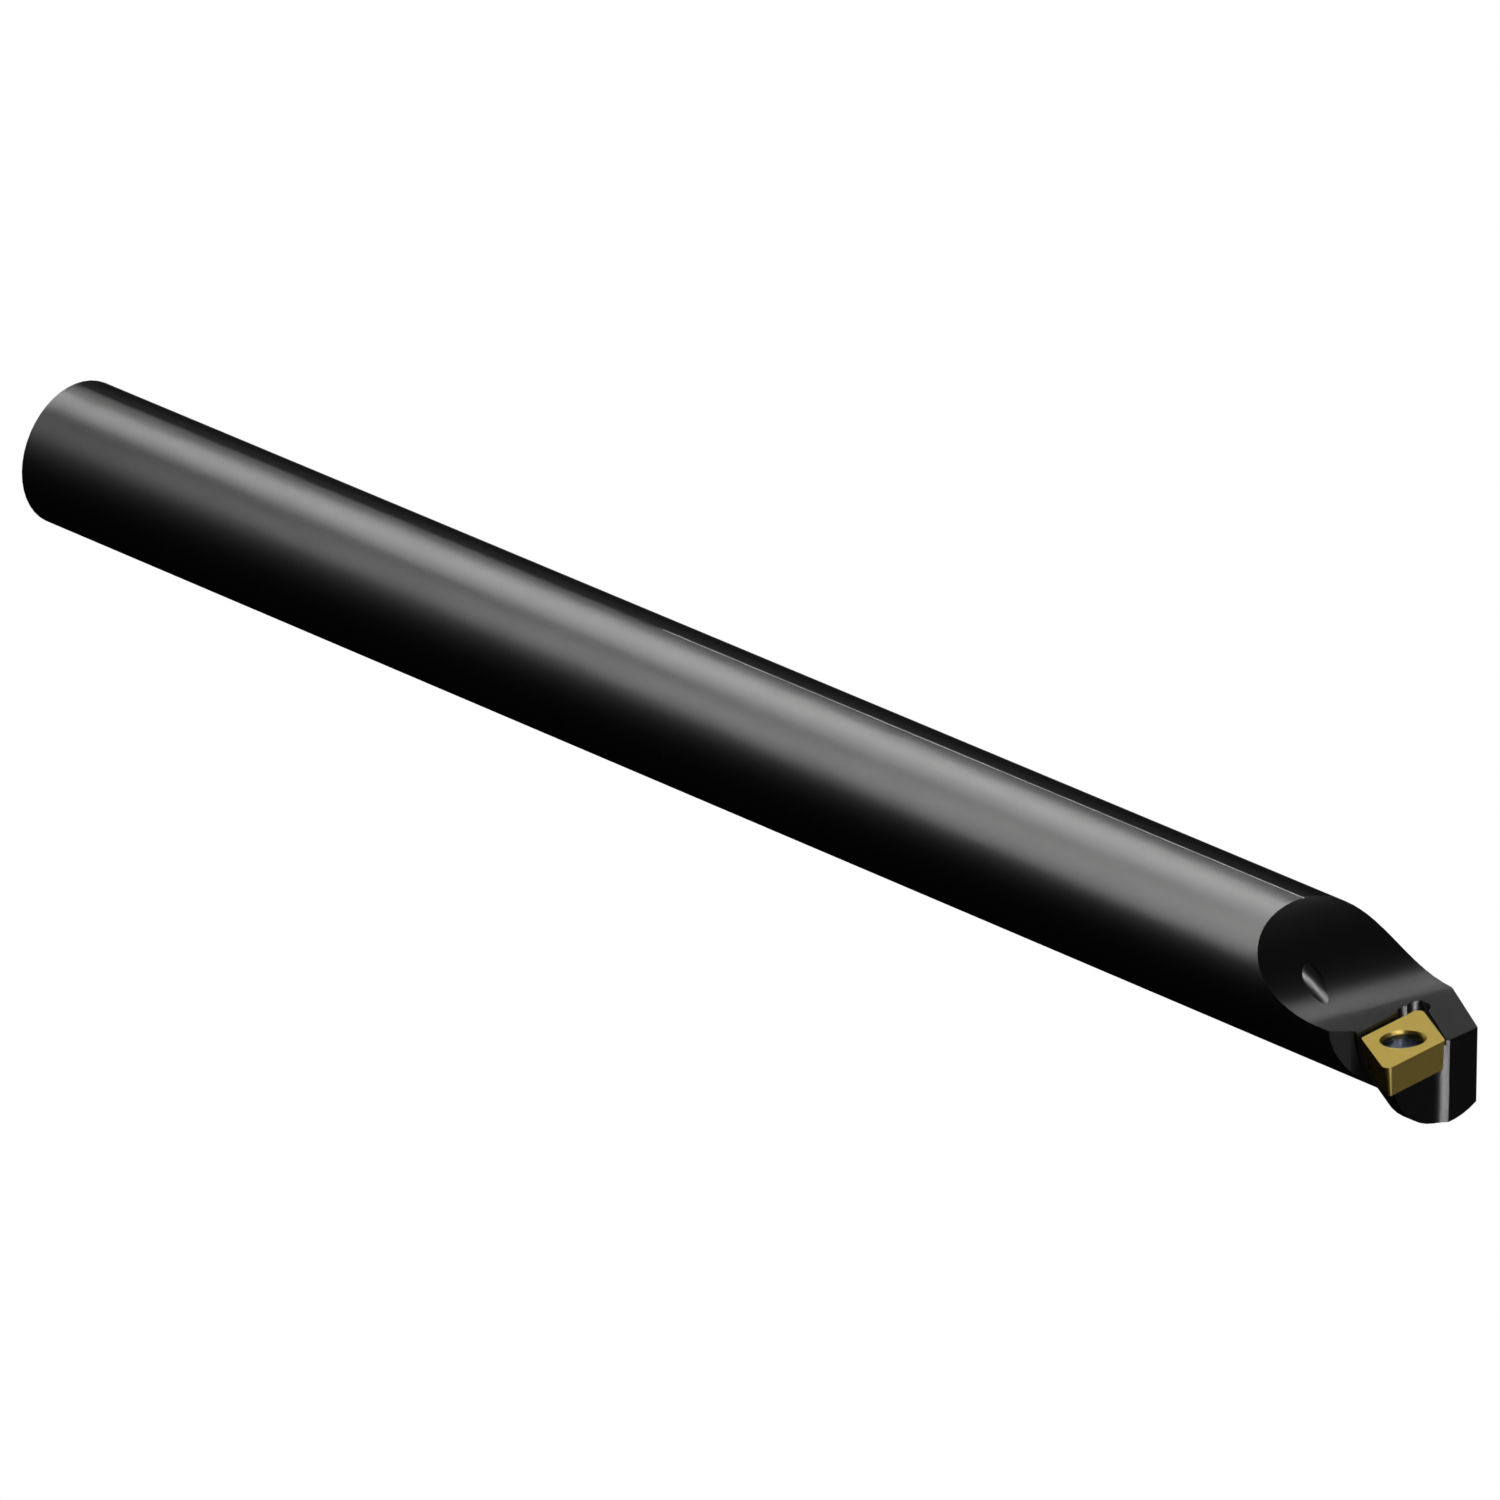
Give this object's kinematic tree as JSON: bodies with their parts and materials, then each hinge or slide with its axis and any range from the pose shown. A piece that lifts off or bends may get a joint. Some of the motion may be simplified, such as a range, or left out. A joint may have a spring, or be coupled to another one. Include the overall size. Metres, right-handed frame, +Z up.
{
  "type": "boring bar",
  "caption": "Steel boring bar with internal coolant, a gullet in its head and a gold rhombic cutting insert held by a screw.",
  "frame": {"origin": "middle of the shank's rear face, on the shank's axis", "axes": "+X along the bar from the rear face to the cutting nose, +Z up from the insert's rake face, nose on the -Y side"},
  "size_m": [0.25, 0.023, 0.0218],
  "materials": {
    "bar_steel": "satin black oxide",
    "insert_coating": "satin gold coating",
    "screw_steel": "satin dark steel"
  },
  "bodies": {
    "root": {"bar": "bar_steel", "insert": "insert_coating", "insert_screw": "screw_steel"}
  },
  "joints": []
}
